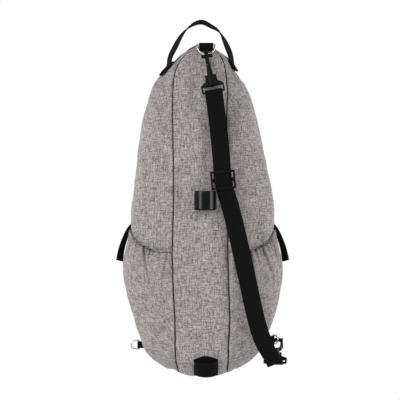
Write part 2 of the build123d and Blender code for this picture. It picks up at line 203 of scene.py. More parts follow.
def seam_angle(t, seam):
    """Angle on the strap side at which a seam crosses each level."""
    height, half_width, _ = np.moveaxis(bag_profile(t), -1, 0)
    return -np.arccos(np.clip(seam(height) / half_width, -0.96, 0.96))


def plane_angle(t, y):
    """Angle on the right-hand side at which the surface reaches a depth y."""
    return np.arcsin(np.clip(y / bag_profile(t)[..., 2], -1, 1))


def random_waves(seed, wavelength, count=18):
    """Smooth random field of about unit size, with features near one wavelength in metres."""
    source = np.random.default_rng(seed)
    direction = source.normal(size=(count, 3))
    direction /= np.linalg.norm(direction, axis=1, keepdims=True)
    number = 2 * np.pi / wavelength * source.uniform(0.6, 1.5, (count, 1))
    shift = source.uniform(0, 2 * np.pi, count)
    return lambda points: np.sin(points @ (direction * number).T + shift).sum(-1) * math.sqrt(2 / count)


def smoothstep(x):
    """0 below 0, 1 above 1, and a smooth step between."""
    x = np.clip(x, 0, 1)
    return x * x * (3 - 2 * x)


# Meshes --------------------------------------------------------------------------------------------


def make_object(name, points, faces, uv=None):
    """Closed, smooth-shaded object from points and faces, with a UV for each point in metres."""
    mesh = bpy.data.meshes.new(name)
    mesh.from_pydata([tuple(p) for p in np.asarray(points, float).reshape(-1, 3)], [], faces)
    if uv is not None:
        corner = np.zeros(len(mesh.loops), int)
        mesh.loops.foreach_get("vertex_index", corner)
        layer = mesh.uv_layers.new(name="UVMap")
        layer.data.foreach_set("uv", np.asarray(uv, float).reshape(-1, 2)[corner].astype(np.float32).ravel())
    work = bmesh.new()
    work.from_mesh(mesh)
    bmesh.ops.recalc_face_normals(work, faces=work.faces)
    work.to_mesh(mesh)
    work.free()
    mesh.polygons.foreach_set("use_smooth", [True] * len(mesh.polygons))
    made = bpy.data.objects.new(name, mesh)
    bpy.context.scene.collection.objects.link(made)
    return made


def shell(name, outer, inner):
    """Closed sheet between an outer and an inner grid of points."""
    rows, columns = outer.shape[:2]
    index = np.arange(rows * columns).reshape(rows, columns)
    quads = np.stack([index[:-1, :-1], index[:-1, 1:], index[1:, 1:], index[1:, :-1]], -1).reshape(-1, 4)
    rim = np.concatenate([index[0, :-1], index[:-1, -1], index[-1, :0:-1], index[:0:-1, 0]])
    after = np.roll(rim, -1)
    under = rows * columns
    sides = np.stack([rim, after, after + under, rim + under], -1)
    faces = np.concatenate([quads, quads[:, ::-1] + under, sides]).tolist()
    u = lengths_across(outer)
    u -= u[:, columns // 2][:, None]
    along = chord(outer[:, columns // 2])
    uv = np.stack([u, np.repeat(along[:, None], columns, 1)], -1)
    return make_object(name, np.concatenate([outer.reshape(-1, 3), inner.reshape(-1, 3)]), faces,
                       np.concatenate([uv, uv]))


def ruled(name, lines, thick):
    """Thin strip over neighbouring lines of points, thickened to one side."""
    grid = np.stack(lines, axis=1)
    normal = np.cross(np.gradient(grid, axis=1), np.gradient(grid, axis=0))
    normal /= np.maximum(np.linalg.norm(normal, axis=-1, keepdims=True), 1e-12)
    return shell(name, grid + normal * thick / 2, grid - normal * thick / 2)


def band_section(width, thick, steps=8):
    """Section of webbing: flat faces and round edges, as offsets across and through."""
    flat = width / 2 - thick / 2
    top = [(x, thick / 2) for x in np.linspace(-flat, flat, steps)]
    turn = [(math.cos(a), math.sin(a)) for a in (math.pi / 4, 0, -math.pi / 4)]
    right = [(flat + c * thick / 2, s * thick / 2) for c, s in turn]
    return np.array(top + right + [(-x, -y) for x, y in top + right])


def round_section(radius, sides=10):
    """Section of a round rod or thread."""
    turns = np.arange(sides) * 2 * np.pi / sides
    return np.stack([radius * np.cos(turns), radius * np.sin(turns)], -1)


def sweep(name, path, side, section, loop=False, narrow=1.0):
    """Solid of one section along a path. Side points along the section's first axis, and narrow scales it."""
    path = np.asarray(path, float)
    along = np.gradient(path, axis=0)
    if loop:
        along = np.roll(path, -1, axis=0) - np.roll(path, 1, axis=0)
    along /= np.linalg.norm(along, axis=1, keepdims=True)
    side = np.broadcast_to(np.asarray(side, float), path.shape)
    side = side - along * (side * along).sum(-1, keepdims=True)
    side = side / np.linalg.norm(side, axis=1, keepdims=True)
    through = np.cross(along, side)
    side = side * np.broadcast_to(narrow, len(path))[:, None]
    points = path[:, None] + side[:, None] * section[:, 0, None] + through[:, None] * section[:, 1, None]
    count, ring = points.shape[:2]
    index = np.arange(count * ring).reshape(count, ring)
    nexts = np.roll(index, -1, axis=1)
    pairs = [(i, (i + 1) % count) for i in range(count if loop else count - 1)]
    faces = [f for i, j in pairs for f in np.stack([index[i], nexts[i], nexts[j], index[j]], -1).tolist()]
    if not loop:
        faces += [index[0][::-1].tolist(), index[-1].tolist()]
    uv = np.stack(np.broadcast_arrays(section[None, :, 0], chord(path)[:, None]), -1)
    return make_object(name, points, faces, uv)


def beads(name, path, up, pitch, size):
    """Row of small rounded pieces along a path: stitches or teeth. Size is along, across and high."""
    along = chord(path)
    places = np.arange(pitch / 2, along[-1], pitch)
    centres = np.stack([np.interp(places, along, path[:, k]) for k in range(3)], -1)
    run = np.gradient(path, axis=0)
    run = np.stack([np.interp(places, along, run[:, k]) for k in range(3)], -1)
    run /= np.linalg.norm(run, axis=1, keepdims=True)
    up = np.broadcast_to(np.asarray(up, float), path.shape)
    up = np.stack([np.interp(places, along, up[:, k]) for k in range(3)], -1)
    up -= run * (up * run).sum(-1, keepdims=True)
    up /= np.linalg.norm(up, axis=1, keepdims=True)
    across = np.cross(up, run)
    turns = np.arange(6) * np.pi / 3
    rings = [(-0.5, 0.45), (-0.25, 1), (0.25, 1), (0.5, 0.45)]
    local = np.array([(x, r * math.cos(a) / 2, r * math.sin(a) / 2) for x, r in rings for a in turns]) * size
    points = (centres[:, None] + run[:, None] * local[:, 0, None] + across[:, None] * local[:, 1, None]
              + up[:, None] * local[:, 2, None])
    one = [[6 * k + i, 6 * k + (i + 1) % 6, 6 * k + 6 + (i + 1) % 6, 6 * k + 6 + i]
           for k in range(3) for i in range(6)]
    one += [[5, 4, 3, 2, 1, 0], [18, 19, 20, 21, 22, 23]]
    faces = [[v + 24 * k for v in face] for k in range(len(centres)) for face in one]
    return make_object(name, points, faces, np.zeros((len(centres) * 24, 2)))


def softened(source, grain, rounds):
    """Copy of a CAD node's shape with its edges rounded over, as a moulded or folded piece has."""
    made = bpy.data.objects.new(source + "_soft", nodes[source].data.copy())
    bpy.context.scene.collection.objects.link(made)
    weld = bmesh.new()
    weld.from_mesh(made.data)
    bmesh.ops.remove_doubles(weld, verts=weld.verts, dist=1e-6)
    weld.to_mesh(made.data)
    weld.free()
    remesh = made.modifiers.new("remesh", "REMESH")
    remesh.mode, remesh.voxel_size = "VOXEL", grain
    smooth = made.modifiers.new("smooth", "SMOOTH")
    smooth.factor, smooth.iterations = 0.5, rounds
    # Smoothing fills inner corners; points that stand outside the CAD shape go back to its surface.
    inside = made.modifiers.new("inside", "SHRINKWRAP")
    inside.wrap_method, inside.wrap_mode = "NEAREST_SURFACEPOINT", "INSIDE"
    inside.target = nodes[source]
    view = bpy.context.evaluated_depsgraph_get()
    made.data = bpy.data.meshes.new_from_object(made.evaluated_get(view))
    made.modifiers.clear()
    made.data.polygons.foreach_set("use_smooth", [True] * len(made.data.polygons))
    made.data.materials.clear()
    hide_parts(source)
    return made


# Materials -----------------------------------------------------------------------------------------


def node(tree, kind, inputs=None, **settings):
    """Add a shader node with its settings, and its inputs set or linked; return its first output."""
    made = tree.nodes.new(kind)
    for key, value in settings.items():
        setattr(made, key, value)
    for key, value in (inputs or {}).items():
        if isinstance(value, bpy.types.NodeSocket):
            tree.links.new(value, made.inputs[key])
        else:
            made.inputs[key].default_value = value
    return made.outputs[0]


def material(name, **constants):
    """New material with a shader whose constant sockets are given by name."""
    made = bpy.data.materials.new(name)
    made.use_nodes = True
    tree = made.node_tree
    shader = tree.nodes["Principled BSDF"]
    for key, value in constants.items():
        shader.inputs[key.replace("_", " ")].default_value = value
    return made, tree, shader


def math_node(tree, operation, a, b=0.0):
    """One arithmetic step."""
    return node(tree, "ShaderNodeMath", {0: a, 1: b}, operation=operation)


def blended(tree, *parts):
    """Sum of values, each times its share."""
    scaled = [math_node(tree, "MULTIPLY", value, share) for value, share in parts]
    total = scaled[0]
    for part in scaled[1:]:
        total = math_node(tree, "ADD", total, part)
    return total


def streaks(tree, where, stretch, detail=3.0):
    """Noise drawn out along the threads."""
    scaled = node(tree, "ShaderNodeVectorMath", {0: where, 1: stretch}, operation="MULTIPLY")
    inputs = {"Vector": scaled, "Scale": 1.0, "Detail": detail, "Roughness": 0.6}
    return node(tree, "ShaderNodeTexNoise", inputs)


def ramp(tree, value, stops):
    """Colour ramp through the stops of place and colour."""
    made = tree.nodes.new("ShaderNodeValToRGB")
    tree.links.new(value, made.inputs[0])
    while len(made.color_ramp.elements) < len(stops):
        made.color_ramp.elements.new(0.5)
    for element, (place, colour) in zip(made.color_ramp.elements, stops):
        element.position, element.color = place, (*colour, 1)
    return made.outputs[0]


def weave(tree, where, pitch):
    """Height of a plain weave: threads over and under each other."""
    parts = node(tree, "ShaderNodeVectorMath", {0: where, 1: (math.pi / pitch,) * 3}, operation="MULTIPLY")
    split = tree.nodes.new("ShaderNodeSeparateXYZ")
    tree.links.new(parts, split.inputs[0])
    one = math_node(tree, "SINE", split.outputs[0])
    other = math_node(tree, "SINE", split.outputs[1])
    return math_node(tree, "MULTIPLY", one, other)


def bump(tree, shader, height, distance, strength):
    """Drive the shader's normal from a height in metres."""
    made = node(tree, "ShaderNodeBump", {"Height": height, "Distance": distance, "Strength": strength})
    tree.links.new(made, shader.inputs["Normal"])


def heather_fabric():
    """Grey linen-look weave: light and dark slubs along both threads."""
    made, tree, shader = material("heather_fabric", Roughness=0.95, Sheen_Weight=0.08, Sheen_Roughness=0.5,
                                  Specular_IOR_Level=0.15)
    where = node(tree, "ShaderNodeUVMap", uv_map="UVMap")
    warp = streaks(tree, where, (500, 42, 1), 1.0)
    weft = streaks(tree, where, (46, 500, 1), 1.0)
    fine_warp = streaks(tree, where, (850, 130, 1), 1.0)
    fine_weft = streaks(tree, where, (140, 850, 1), 1.0)
    cloud = streaks(tree, where, (34, 26, 1), 2.0)
    coarse = blended(tree, (warp, 0.5), (weft, 0.5))
    fine = blended(tree, (fine_warp, 0.5), (fine_weft, 0.5))
    crossed = math_node(tree, "MINIMUM", warp, weft)
    patchy = math_node(tree, "SUBTRACT", cloud, 0.5)
    tone = blended(tree, (coarse, 0.32), (fine, 0.52), (crossed, 0.16), (patchy, 0.05))
    colour = ramp(tree, tone, [(0.36, (0.08, 0.073, 0.073)), (0.44, (0.18, 0.165, 0.165)),
                               (0.50, (0.315, 0.29, 0.287)), (0.60, (0.54, 0.50, 0.49))])
    tree.links.new(colour, shader.inputs["Base Color"])
    height = math_node(tree, "ADD", weave(tree, where, 0.0011), math_node(tree, "MULTIPLY", coarse, 2.2))
    bump(tree, shader, height, 0.00035, 0.6)
    return made


def webbing(name="black_webbing", mapped=True, tone=1.0):
    """Black ribbed webbing with a slight sheen."""
    made, tree, shader = material(name, Roughness=0.95, Sheen_Weight=0.01, Specular_IOR_Level=0.05)
    where = node(tree, "ShaderNodeUVMap", uv_map="UVMap")
    if not mapped:
        where = tree.nodes.new("ShaderNodeTexCoord").outputs["Object"]
    grain = streaks(tree, where, (900, 300, 900), 3.0)
    dark = (np.array([0.003, 0.003, 0.0032]) * tone).tolist()
    light = (np.array([0.009, 0.0088, 0.0088]) * tone).tolist()
    tree.links.new(ramp(tree, grain, [(0.3, dark), (0.7, light)]), shader.inputs["Base Color"])
    height = math_node(tree, "ADD", weave(tree, where, 0.0015), math_node(tree, "MULTIPLY", grain, 0.6))
    bump(tree, shader, height, 0.0004, 0.75)
    return made


def lining_fabric():
    """Smooth dark nylon with a small ripstop grid."""
    made, tree, shader = material("lining_fabric", Roughness=0.5, Sheen_Weight=0.1)
    where = node(tree, "ShaderNodeUVMap", uv_map="UVMap")
    grid = math_node(tree, "ABSOLUTE", weave(tree, where, 0.006))
    grain = streaks(tree, where, (900, 900, 1))
    tree.links.new(ramp(tree, grain, [(0.3, (0.03, 0.03, 0.033)), (0.7, (0.06, 0.06, 0.064))]),
                   shader.inputs["Base Color"])
    bump(tree, shader, math_node(tree, "POWER", grid, 0.15), 0.0002, 0.5)
    return made


def moulded(name, dark, light, rough, coat=0.0, spec=0.3):
    """Moulded plastic with a fine surface grain."""
    made, tree, shader = material(name, Coat_Weight=coat, Coat_Roughness=0.12, Specular_IOR_Level=spec)
    where = tree.nodes.new("ShaderNodeTexCoord").outputs["Object"]
    grain = streaks(tree, where, (2200, 2200, 2200), 2.0)
    cloud = streaks(tree, where, (60, 60, 60), 3.0)
    tree.links.new(ramp(tree, cloud, [(0.3, (dark,) * 3), (0.7, (light,) * 3)]), shader.inputs["Base Color"])
    uneven = math_node(tree, "ADD", math_node(tree, "MULTIPLY", cloud, 0.16), rough)
    tree.links.new(uneven, shader.inputs["Roughness"])
    bump(tree, shader, grain, 0.00008, 0.35)
    return made


def metal(name, dark, light, rough):
    """Plated metal with faint cloudy wear and fine scratches."""
    made, tree, shader = material(name, Metallic=1.0)
    where = tree.nodes.new("ShaderNodeTexCoord").outputs["Object"]
    cloud = streaks(tree, where, (120, 120, 120), 4.0)
    scratch = streaks(tree, where, (4000, 400, 1200), 2.0)
    tree.links.new(ramp(tree, cloud, [(0.3, dark), (0.7, light)]), shader.inputs["Base Color"])
    uneven = math_node(tree, "ADD", math_node(tree, "MULTIPLY", scratch, 0.14), rough)
    tree.links.new(uneven, shader.inputs["Roughness"])
    bump(tree, shader, scratch, 0.00002, 0.3)
    return made


looks = {
    "fabric": (heather_fabric(), "heather_fabric"),
    "webbing": (webbing(), "black_webbing"),
    "folded_webbing": (webbing("folded_webbing", mapped=False), "black_webbing"),
    "thread": (webbing("thread", mapped=False, tone=1.8), "black_webbing"),
    "piping": (webbing("piping", tone=1.6), "black_webbing"),
    "lining": (lining_fabric(), "lining_fabric"),
    "plastic": (moulded("black_plastic", 0.004, 0.007, 0.40, spec=0.09), "black_plastic"),
    "gloss": (moulded("gloss_loop", 0.002, 0.004, 0.16, spec=0.3), "gloss_loop"),
    "ring": (metal("ring_metal", (0.42, 0.41, 0.39), (0.70, 0.69, 0.67), 0.14), "ring_metal"),
    "pin": (metal("pin_steel", (0.4, 0.4, 0.4), (0.6, 0.6, 0.6), 0.25), "pin_steel"),
}


def dress(piece, look, body=None, replaced=(), leans=False):
    """Give a piece its material, the body that it rides on and the nodes that it stands for."""
    finish, slot = looks[look]
    if leans:
        lean(piece)
    piece.data.materials.clear()
    piece.data.materials.append(finish)
    if replaced:
        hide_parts(*replaced)
    if body:
        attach(piece, body)
    return piece


# Bag shell -----------------------------------------------------------------------------------------

soft_folds = random_waves(3, 0.085)
long_folds = random_waves(5, 0.21)
small_folds = random_waves(8, 0.03)


def sag(points):
    """Uneven stand of the fabric, in metres: broad soft folds and a little puckering."""
    stretched = points * np.array([1.6, 1.0, 0.55])
    return 0.0011 * soft_folds(stretched) + 0.0016 * long_folds(points) + 0.00025 * small_folds(stretched)


def spread_over(coarse, rows, columns):
    """Values on a coarse grid drawn out over a finer one."""
    down, along = np.linspace(0, 1, rows), np.linspace(0, 1, columns)
    first = np.stack([np.interp(along, np.linspace(0, 1, coarse.shape[1]), row) for row in coarse])
    return np.stack([np.interp(down, np.linspace(0, 1, coarse.shape[0]), column) for column in first.T], 1)


def billow(sheet, normal, cap, rows=40, columns=16):
    """How far a sheet sewn down along its edges stands out, from a cloth simulation in a scene of its own."""
    pick = np.ix_(np.linspace(0, sheet.shape[0] - 1, rows).round().astype(int),
                  np.linspace(0, sheet.shape[1] - 1, columns).round().astype(int))
    points, outward = sheet[pick], normal[pick]
    index = np.arange(rows * columns).reshape(rows, columns)
    quads = np.stack([index[:-1, :-1], index[:-1, 1:], index[1:, 1:], index[1:, :-1]], -1).reshape(-1, 4)
    facing = np.cross(points[1, 1] - points[1, 0], points[2, 0] - points[1, 0]) @ outward[1, 0]
    mesh = bpy.data.meshes.new("cloth")
    mesh.from_pydata(points.reshape(-1, 3).tolist(), [], (quads if facing > 0 else quads[:, ::-1]).tolist())
    piece = bpy.data.objects.new("cloth", mesh)
    table = bpy.data.scenes.new("sewing_table")
    table.collection.objects.link(piece)
    sewn = np.zeros((rows, columns), bool)
    sewn[[0, -1]] = sewn[:, [0, -1]] = True
    held = piece.vertex_groups.new(name="sewn")
    held.add(index[sewn].tolist(), 1.0, "REPLACE")
    cloth = piece.modifiers.new("cloth", "CLOTH")
    cloth.settings.quality = 3
    cloth.settings.vertex_group_mass = "sewn"
    cloth.settings.use_pressure = True
    cloth.settings.uniform_pressure_force = 4
    cloth.settings.shrink_min = -0.025
    cloth.settings.bending_stiffness = 2
    cloth.settings.effector_weights.gravity = 0
    cloth.point_cache.frame_start, cloth.point_cache.frame_end = 1, 20
    for step in range(1, 21):
        table.frame_set(step)
    result = piece.evaluated_get(table.view_layers[0].depsgraph).data
    moved = np.zeros(rows * columns * 3)
    result.vertices.foreach_get("co", moved)
    stand = ((moved.reshape(rows, columns, 3) - points) * outward).sum(-1)
    bpy.data.objects.remove(piece)
    bpy.data.scenes.remove(table)
    return spread_over(cap * np.tanh(stand / cap), *sheet.shape[:2])


def panel(name, t, low, high, columns, thick=0.0022, inset=0.0, tuck=0.0024, drop=0.0, puff=0.0):
    """Panel of the shell between two angles at each level, tucked in along its seams."""
    share = np.linspace(0, 1, columns)
    ts = np.repeat(t[:, None], columns, 1)
    angles = low[:, None] + (high - low)[:, None] * share
    base, normal = bag_surface(ts, angles), bag_normal(ts, angles)
    across = lengths_across(base)
    edge = np.minimum(across, across[:, -1:] - across)
    fade = smoothstep(edge / 0.02)
    pucker = 0.0004 * np.sin(ts / 5.2 + 3 * np.sin(ts / 31)) * np.exp(-edge / 0.008)
    groove = tuck * (np.exp(-((edge / 0.003) ** 2)) + 0.35 * np.exp(-((edge / 0.009) ** 2)))
    out = sag(base) * fade - groove + pucker * (tuck > 0) - inset - drop * fade
    if puff:
        out += billow(base, normal, puff) - puff * 0.5 * fade
    return shell(name, base + normal * out[..., None], base + normal * (out - thick)[..., None])


def seam_line(t, angle, sink=0.0022):
    """Line of points along a seam, in the bottom of its groove."""
    return bag_surface(t, angle) - bag_normal(t, angle) * sink


full_t = np.linspace(bag_knots[0] + 0.5, bag_knots[-1] - 0.3, 300)
back_low, back_high = seam_angle(full_t, seam_left), seam_angle(full_t, seam_right)
slot_angle = plane_angle(full_t, SLOT_BACK)

back = panel("back_panel_cloth", full_t, back_low, back_high, 64, puff=0.002)
dress(back, "fabric", "bag", ["back_panel"], leans=True)
left = panel("left_side_cloth", full_t, -np.pi - slot_angle, back_low, 60, puff=0.002)
dress(left, "fabric", "bag", ["left_side_panel"], leans=True)
right = panel("right_side_cloth", full_t, back_high, slot_angle, 60, puff=0.002)
dress(right, "fabric", "bag", ["right_side_panel"], leans=True)

for side, angle in (("left", back_low), ("right", back_high)):
    cord = sweep(f"back_seam_{side}", seam_line(full_t, angle), (0, 1, 0), round_section(0.00075, 8))
    dress(cord, "piping", "bag", leans=True)

# The front: a lower panel, and the flap above the hinge line.
HINGE_LOW, HINGE_HIGH = OPENING - 13, OPENING + 15


def flap_piece(piece, look, replaced=()):
    """Dress a piece of the flap and bake its transform into its mesh."""
    dress(piece, look, replaced=replaced, leans=True)
    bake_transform(piece)


low_t = np.linspace(full_t[0], t_at(HINGE_LOW), 130)
low_angle = plane_angle(low_t, SLOT_BACK + 0.6)
lower = panel("front_lower_cloth", low_t, low_angle, np.pi - low_angle, 100, puff=0.002)
dress(lower, "fabric", "bag", ["front_lower_panel"], leans=True)

flap_top = float(np.interp(-SLOT_FRONT - 0.4, -bag_profile(profile_t[2000:])[:, 2], profile_t[2000:]))
flap_t = np.linspace(t_at(HINGE_LOW) + 0.6, flap_top, 170)
flap_angle = plane_angle(flap_t, SLOT_FRONT)
flap = panel("front_flap_cloth", flap_t, flap_angle, np.pi - flap_angle, 100, puff=0.003)
flap_piece(flap, "fabric", ["front_flap", "flap_foam"])

# Linings. The binding that closes the edge between fabric and lining is made with the zipper, below.
inside = 0.0066
main_lining = panel("main_lining_cloth", full_t[6:-8], -np.pi - slot_angle[6:-8], slot_angle[6:-8], 110,
                    thick=0.0008, inset=inside, tuck=0, drop=0.004)
dress(main_lining, "lining", "bag", ["main_lining", "back_foam"], leans=True)
lower_lining = panel("lower_lining_cloth", low_t[6:], low_angle[6:], np.pi - low_angle[6:], 80,
                     thick=0.0008, inset=inside, tuck=0, drop=0.002)
dress(lower_lining, "lining", "bag", leans=True)
flap_lining = panel("flap_lining_cloth", flap_t[:-10], flap_angle[:-10], np.pi - flap_angle[:-10], 80,
                    thick=0.0008, inset=inside, tuck=0)
flap_piece(flap_lining, "lining", ["flap_lining"])


# Zipper --------------------------------------------------------------------------------------------

# Half of the zipper's line, below its round top: x and height.
ZIP_SIDE = [
    (148, 310), (148, 323.5), (145.5, 380), (138, 450), (129.5, 510), (115.5, 575), (93, 635), (69.5, 671),
]
ZIP_POINTS = 420
round_top = np.radians(np.linspace(50, -50, 9))
arc = [(ZIP_RADIUS * math.sin(a), ZIP_CENTRE + ZIP_RADIUS * math.cos(a)) for a in round_top]
zip_plan = curve_through(ZIP_SIDE + arc + [(-x, h) for x, h in reversed(ZIP_SIDE)], ZIP_POINTS)
zip_line = metres(np.stack([zip_plan[:, 0], np.full(ZIP_POINTS, ZIP_Y), zip_plan[:, 1]], -1))
zip_run = np.gradient(zip_line, axis=0)
zip_out = np.stack([zip_run[:, 2], np.zeros(ZIP_POINTS), -zip_run[:, 0]], -1)
zip_out /= np.linalg.norm(zip_out, axis=1, keepdims=True)


def edge_line(y, sink):
    """Panel edge along the zipper, at a depth y, in even steps over the top from right to left."""
    limit = float(np.interp(-y - 0.05, -bag_profile(profile_t[2000:])[:, 2], profile_t[2000:]))
    t = np.linspace(t_at(HINGE_LOW), limit, 500)
    angle = plane_angle(t, y)
    one = seam_line(t, angle, sink)
    line = np.concatenate([one, one[::-1] * np.array([-1, 1, 1])])
    along = chord(line)
    want = np.linspace(0, along[-1], ZIP_POINTS)
    return np.stack([np.interp(want, along, line[:, k]) for k in range(3)], -1)


def moved(line, y):
    """The zipper's middle line moved to another depth."""
    return np.stack([line[:, 0], np.full(len(line), y * MM), line[:, 2]], -1)


sides = {
    "back": {"edge": SLOT_BACK, "tape": ZIP_Y - 0.8, "teeth": ZIP_Y - 1.15, "sign": 1},
    "flap": {"edge": SLOT_FRONT, "tape": ZIP_Y + 0.8, "teeth": ZIP_Y + 1.15, "sign": -1},
}
for side, place in sides.items():
    # The tape lies flat where the sliders run and slopes to the cloth beyond them.
    bend = moved(zip_line, place["edge"] + place["sign"] * 1.8)
    across_tape = [edge_line(place["edge"], 0.002), bend, moved(zip_line, place["tape"])]
    tape = ruled(f"zip_tape_{side}_weave", across_tape, 0.0008)
    start = 0 if side == "back" else 3
    teeth = beads(f"zip_teeth_{side}_row", moved(zip_line, place["teeth"])[start:], zip_out[start:],
                  0.0026, (0.0016, 0.0031, 0.0024))
    piping = sweep(f"zip_piping_{side}", edge_line(place["edge"], 0.0006), (0, 1, 0), round_section(0.0013))
    outer, inner = edge_line(place["edge"], 0.001), edge_line(place["edge"], inside + 0.0006)
    binding = ruled(f"zip_binding_{side}", [outer, inner], 0.0012)
    if side == "back":
        dress(tape, "webbing", "bag", ["zip_tape_back"], leans=True)
        dress(teeth, "plastic", "bag", ["zip_teeth_back"], leans=True)
        dress(piping, "piping", "bag", leans=True)
        dress(binding, "webbing", "bag", leans=True)
    else:
        flap_piece(tape, "webbing", ["zip_tape_flap"])
        flap_piece(teeth, "plastic", ["zip_teeth_flap"])
        flap_piece(piping, "piping")
        flap_piece(binding, "webbing")

for side in ("left", "right"):
    for part, look in (("slider", "plastic"), ("pull", "folded_webbing")):
        dress(softened(f"zip_{part}_{side}", 0.0003, 3), look, f"{side}_{part}")


# Side pockets --------------------------------------------------------------------------------------

POCKET_FOOT = 20
HEM_SIDE, HEM_SEAM, HEM_Y = 321, 277, 62
HEM_BAND = 2.6
# The cloth is cut this much wider than the bag below it.
# Creases under each hem: distance round from the back seam, lean, depth and length, in millimetres.
CREASES = {
    "left": [
        (7, 0.10, 4.6, 24), (20, -0.05, 2.0, 12), (31, 0.05, 1.6, 9), (40, -0.05, 4.6, 15),
        (47, -0.1, 3.0, 12), (57, -0.30, 5.2, 24), (68, 0.1, 1.8, 10), (79, -0.1, 2.6, 14),
        (92, 0.1, 2.0, 12), (103, 0.06, 3.6, 18), (118, 0, 2.4, 16),
    ],
    "right": [
        (11, 0.1, 3.4, 14), (24, 0, 2.0, 12), (38, 0.05, 2.6, 14), (52, 0.08, 3.0, 16),
        (62, 0.05, 2.0, 10), (71, 0.16, 5.4, 30), (84, 0.1, 2.4, 14), (95, 0.1, 2.2, 12),
        (104, 0.14, 4.4, 28), (116, -0.1, 3.0, 20), (125, 0, 2.2, 14),
    ],
}
# The creases round the front are random, from one seed.
hidden = np.random.default_rng(11)


def hem_height(y):
    """Height of the hem at a depth y: highest at the bag's side."""
    fall = (np.sqrt((y / HEM_Y) ** 2 + 0.015) - math.sqrt(0.015)) / (math.sqrt(1.015) - math.sqrt(0.015))
    return HEM_SIDE - (HEM_SIDE - HEM_SEAM) * np.clip(fall, 0, 1)


def pocket(side):
    """Gathered pocket round one side of the bag, from the back seam to the front."""
    sign = -1 if side == "left" else 1
    rows, columns = 150, 440
    share = np.linspace(0, 1, columns)
    seam = seam_right if sign > 0 else lambda h: -seam_left(h)
    rise = 1 - (1 - np.linspace(0, 1, rows)[:, None]) ** 1.4
    height = np.full((rows, columns), 200.0)
    for _ in range(4):
        t = t_at(height)
        _, half_width, half_depth = np.moveaxis(bag_profile(t), -1, 0)
        low = -np.arccos(np.clip((seam(height) + 1.5) / half_width, -0.98, 0.98))
        high = np.arccos(np.clip(58 / half_width, -0.98, 0.98))
        angle = low + (high - low) * share
        height = POCKET_FOOT + (hem_height(half_depth * np.sin(angle)) - POCKET_FOOT) * rise
    t = t_at(height)
    base, normal = bag_surface(t, angle), bag_normal(t, angle)
    wide = pocket_profile(height)
    full = metres(np.stack([wide[..., 0] * np.cos(angle), wide[..., 1] * np.sin(angle), height], -1))
    across = lengths_across(base)
    edge = np.minimum(across, across[:, -1:] - across)
    full_share = smoothstep(edge / 0.04) * smoothstep((height - POCKET_FOOT) / 55)
    below = hem_height(full[..., 1] / MM) - height
    round_mm = across / MM
    creases = list(CREASES[side])
    for k in range(11):
        creases.append((130 + 13 * k + hidden.uniform(-4, 4), hidden.uniform(-0.2, 0.2),
                        hidden.uniform(2.0, 4.8), hidden.uniform(12, 28)))
    out = np.zeros_like(height)
    for place, slant, depth, length in creases:
        off, spread, fall = round_mm - place - slant * below, 2.0 + 0.08 * below, np.exp(-below / length / 1.7)
        fold = 0.6 * np.exp(-((off / spread) ** 2)) + 2.1 * np.exp(-((off / (2.3 + 0.03 * below)) ** 2))
        out -= depth * fold * fall
        out += 0.45 * depth * np.exp(-((off / (3 * spread)) ** 2)) * fall
    ruche = 0.7 * np.sin(round_mm / 1.5 + 2 * np.sin(round_mm / 19)) * np.exp(-(((below - 3) / 4) ** 2))
    seam_groove = -2.2 * np.exp(-(((below - HEM_BAND) / 1.0) ** 2))
    roll = -1.0 * smoothstep((1.6 - below) / 1.6)
    out = (out + ruche + seam_groove + roll) * smoothstep(edge / 0.012) * MM + sag(base * 1.3) * full_share
    tuck = -0.0016 * np.exp(-((edge / 0.003) ** 2)) + 0.0012
    lift = (0.0055 * np.exp(-below / 34) + 0.001) * smoothstep(edge / 0.007) * (1 - 0.75 * np.cos(angle) ** 4)
    points = base + (full - base) * full_share[..., None]
    room = np.linalg.norm(full - base, axis=-1) * full_share
    least = 0.0018 * smoothstep(edge / 0.004) + 0.0004 - room
    outer = points + normal * np.maximum(out + tuck + lift, least)[..., None]
    inner = outer - normal * 0.0016
    mirror = np.array([sign, 1, 1])
    made = shell(f"{side}_pocket_cloth", outer * mirror, inner * mirror)
    dress(made, "fabric", "bag", [f"{side}_pocket", f"{side}_pocket_elastic"], leans=True)
    # The hem's stitch row is nearly continuous black beads in the stitch groove: real stitching, and also
    # painted shade for the dark shadow line under the hem's edge.
    row = int(np.argmin(np.abs(below[:, columns // 2] - HEM_BAND)))
    line = (outer[row] + normal[row] * 0.0002) * mirror
    stitch = beads(f"{side}_hem_stitch_and_painted_shade", line, normal[row] * mirror, 0.0036, (0.0035, 0.0013, 0.0013))
    dress(stitch, "piping", "bag", leans=True)


for side in ("left", "right"):
    pocket(side)


# Webbing -------------------------------------------------------------------------------------------

# The strap's middle line from its upper frame to its lower one: x and height.
STRAP_LINE = [
    (25.4, 608), (31, 567), (36.7, 515), (40.6, 470), (43.9, 430), (48, 410), (56, 385), (65, 352),
    (90, 245), (113, 140), (135, 73), (151, 44),
]
STRAP_Y, RETURN_Y, STRAP_END_Y, BEND = -83, -76.6, -68.5, 330
STRAP_WIDTH, STRAP_THICK = 0.038, 0.0024


def bar_middle(fold):
    """Middle of the bar that a fold of the strap goes round."""
    low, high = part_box(fold)
    return np.array((low + high) / 2)


def unit(vector):
    """Vector of length 1."""
    vector = np.asarray(vector, float)
    return vector / np.linalg.norm(vector)


top_along = unit(joints["top_hook_swivel"]["axis"])
lower_along = unit(joints["lower_hook_swivel"]["axis"])
top_bar_run = unit(np.cross((0, -1, 0), top_along))
lower_bar_run = unit(np.cross((0, 0, -1), lower_along))

